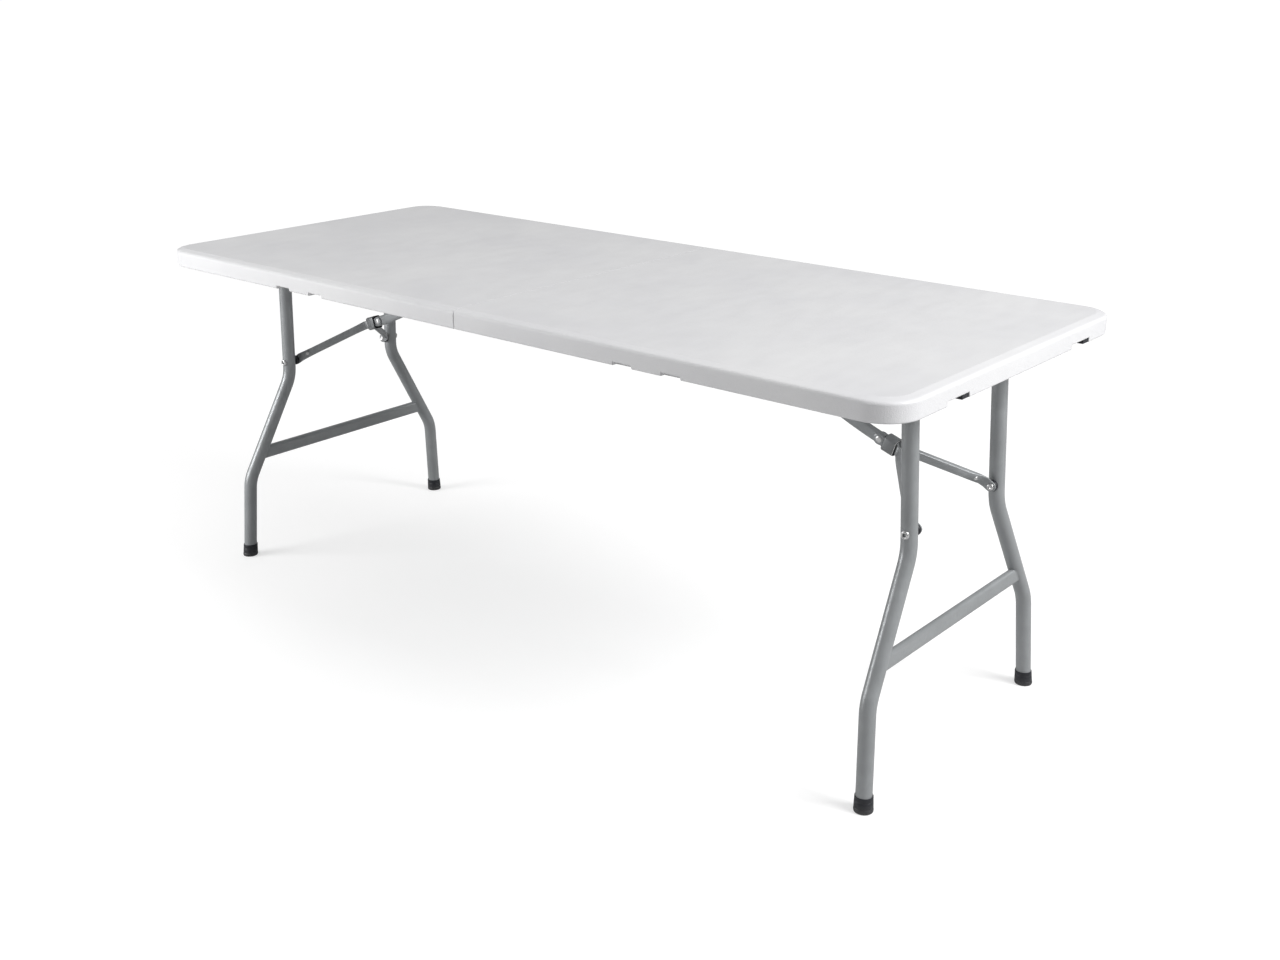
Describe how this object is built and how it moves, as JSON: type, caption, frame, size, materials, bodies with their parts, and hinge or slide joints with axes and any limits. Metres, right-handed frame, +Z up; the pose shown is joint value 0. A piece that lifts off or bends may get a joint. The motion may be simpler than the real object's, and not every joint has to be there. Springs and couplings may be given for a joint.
{
  "type": "folding table",
  "caption": "Folding banquet table: white moulded top in two hinged halves, grey steel leg frames that swing under it, folding braces with lock sleeves.",
  "frame": {"origin": "on the floor, under the middle of the table top", "axes": "+X along the table, towards the half with the carry handle; +Y across it, away from the carry handle; +Z up"},
  "size_m": [1.83, 0.76, 0.735],
  "materials": {
    "white_plastic": "blow-moulded polyethylene, fine grain, satin",
    "grey_plastic": "moulded, satin",
    "black_plastic": "moulded, satin",
    "frame_paint": "grey powder coat with a fine hammered grain, satin",
    "zinc_steel": "zinc plated"
  },
  "bodies": {
    "root": {"panel_right": "white_plastic", "hinge_pin_near": "zinc_steel", "hinge_pin_far": "zinc_steel", "handle_pin": "zinc_steel", "brace_bracket_right": "frame_paint", "brace_pin_right": "zinc_steel", "rail_right_near": "frame_paint", "rail_right_far": "frame_paint", "pivot_block_right_near": "black_plastic", "pivot_block_right_far": "black_plastic", "hinge_leaf_right_near": "zinc_steel", "hinge_leaf_right_far": "zinc_steel"},
    "left_top": {"panel_left": "white_plastic", "brace_bracket_left": "frame_paint", "brace_pin_left": "zinc_steel", "rail_left_near": "frame_paint", "rail_left_far": "frame_paint", "pivot_block_left_near": "black_plastic", "pivot_block_left_far": "black_plastic", "hinge_leaf_left_near": "zinc_steel", "hinge_leaf_left_far": "zinc_steel"},
    "handle": {"carry_handle": "grey_plastic"},
    "near_latch": {"latch_near": "black_plastic"},
    "far_latch": {"latch_far": "black_plastic"},
    "right_leg_frame": {"pivot_tube_right": "frame_paint", "crossbar_right": "frame_paint", "leg_right_near": "frame_paint", "leg_right_far": "frame_paint", "foot_right_near": "black_plastic", "foot_right_far": "black_plastic", "bolt_right_near": "zinc_steel", "bolt_right_far": "zinc_steel", "spacer_right_near": "black_plastic", "spacer_right_far": "black_plastic"},
    "right_brace_arms": {"arm_right_near": "frame_paint", "arm_right_far": "frame_paint", "bolt_head_right_near": "zinc_steel", "bolt_head_right_far": "zinc_steel"},
    "right_brace_strut": {"strut_right": "frame_paint", "joint_pin_right": "zinc_steel"},
    "right_lock_sleeve": {"lock_sleeve_right": "frame_paint"},
    "left_leg_frame": {"pivot_tube_left": "frame_paint", "crossbar_left": "frame_paint", "leg_left_near": "frame_paint", "leg_left_far": "frame_paint", "foot_left_near": "black_plastic", "foot_left_far": "black_plastic", "bolt_left_near": "zinc_steel", "bolt_left_far": "zinc_steel", "spacer_left_near": "black_plastic", "spacer_left_far": "black_plastic"},
    "left_brace_arms": {"arm_left_near": "frame_paint", "arm_left_far": "frame_paint", "bolt_head_left_near": "zinc_steel", "bolt_head_left_far": "zinc_steel"},
    "left_brace_strut": {"strut_left": "frame_paint", "joint_pin_left": "zinc_steel"},
    "left_lock_sleeve": {"lock_sleeve_left": "frame_paint"}
  },
  "joints": [
    {"name": "panel_fold", "type": "hinge", "parent": "root", "child": "left_top", "pos_m": [0, 0, 0.6935], "axis": [0, -1, 0], "range_deg": [0, 90]},
    {"name": "right_leg_fold", "type": "hinge", "parent": "root", "child": "right_leg_frame", "pos_m": [0.8034, 0, 0.711], "axis": [0, 1, 0], "range_deg": [0, 93]},
    {"name": "right_strut_swing", "type": "hinge", "parent": "root", "child": "right_brace_strut", "pos_m": [0.36631, 0, 0.711], "axis": [0, -1, 0], "range_deg": [0, 29.7]},
    {"name": "right_arm_swing", "type": "hinge", "parent": "right_brace_strut", "child": "right_brace_arms", "pos_m": [0.6675, 0, 0.537], "axis": [0, 1, 0], "range_deg": [0, 179]},
    {"name": "right_sleeve_slide", "type": "hinge", "parent": "right_brace_strut", "child": "right_lock_sleeve", "pos_m": [0.99964, 0, 1.45962], "axis": [0, 1, 0], "range_deg": [0, 16.4]},
    {"name": "left_leg_fold", "type": "hinge", "parent": "left_top", "child": "left_leg_frame", "pos_m": [-0.8034, 0, 0.711], "axis": [0, -1, 0], "range_deg": [0, 93]},
    {"name": "left_strut_swing", "type": "hinge", "parent": "left_top", "child": "left_brace_strut", "pos_m": [-0.36631, 0, 0.711], "axis": [0, 1, 0], "range_deg": [0, 29.7]},
    {"name": "left_arm_swing", "type": "hinge", "parent": "left_brace_strut", "child": "left_brace_arms", "pos_m": [-0.6675, 0, 0.537], "axis": [0, -1, 0], "range_deg": [0, 179]},
    {"name": "left_sleeve_slide", "type": "hinge", "parent": "left_brace_strut", "child": "left_lock_sleeve", "pos_m": [-0.99964, 0, 1.45962], "axis": [0, -1, 0], "range_deg": [0, 16.4]},
    {"name": "handle_swing", "type": "hinge", "parent": "root", "child": "handle", "pos_m": [0.4495, -0.368, 0.7004], "axis": [-1, 0, 0], "range_deg": [0, 175]},
    {"name": "near_latch_slide", "type": "slide", "parent": "root", "child": "near_latch", "axis": [0, -1, 0], "range_m": [0, 0.044]},
    {"name": "far_latch_slide", "type": "slide", "parent": "root", "child": "far_latch", "axis": [0, -1, 0], "range_m": [0, 0.044]}
  ],
  "couplings": [
    {"joint": "right_strut_swing", "follows": "right_leg_fold", "ratio": 0.3189},
    {"joint": "right_arm_swing", "follows": "right_leg_fold", "ratio": 1.9238},
    {"joint": "right_sleeve_slide", "follows": "right_leg_fold", "ratio": 0.17591},
    {"joint": "left_strut_swing", "follows": "left_leg_fold", "ratio": 0.3189},
    {"joint": "left_arm_swing", "follows": "left_leg_fold", "ratio": 1.9238},
    {"joint": "left_sleeve_slide", "follows": "left_leg_fold", "ratio": 0.17591}
  ]
}
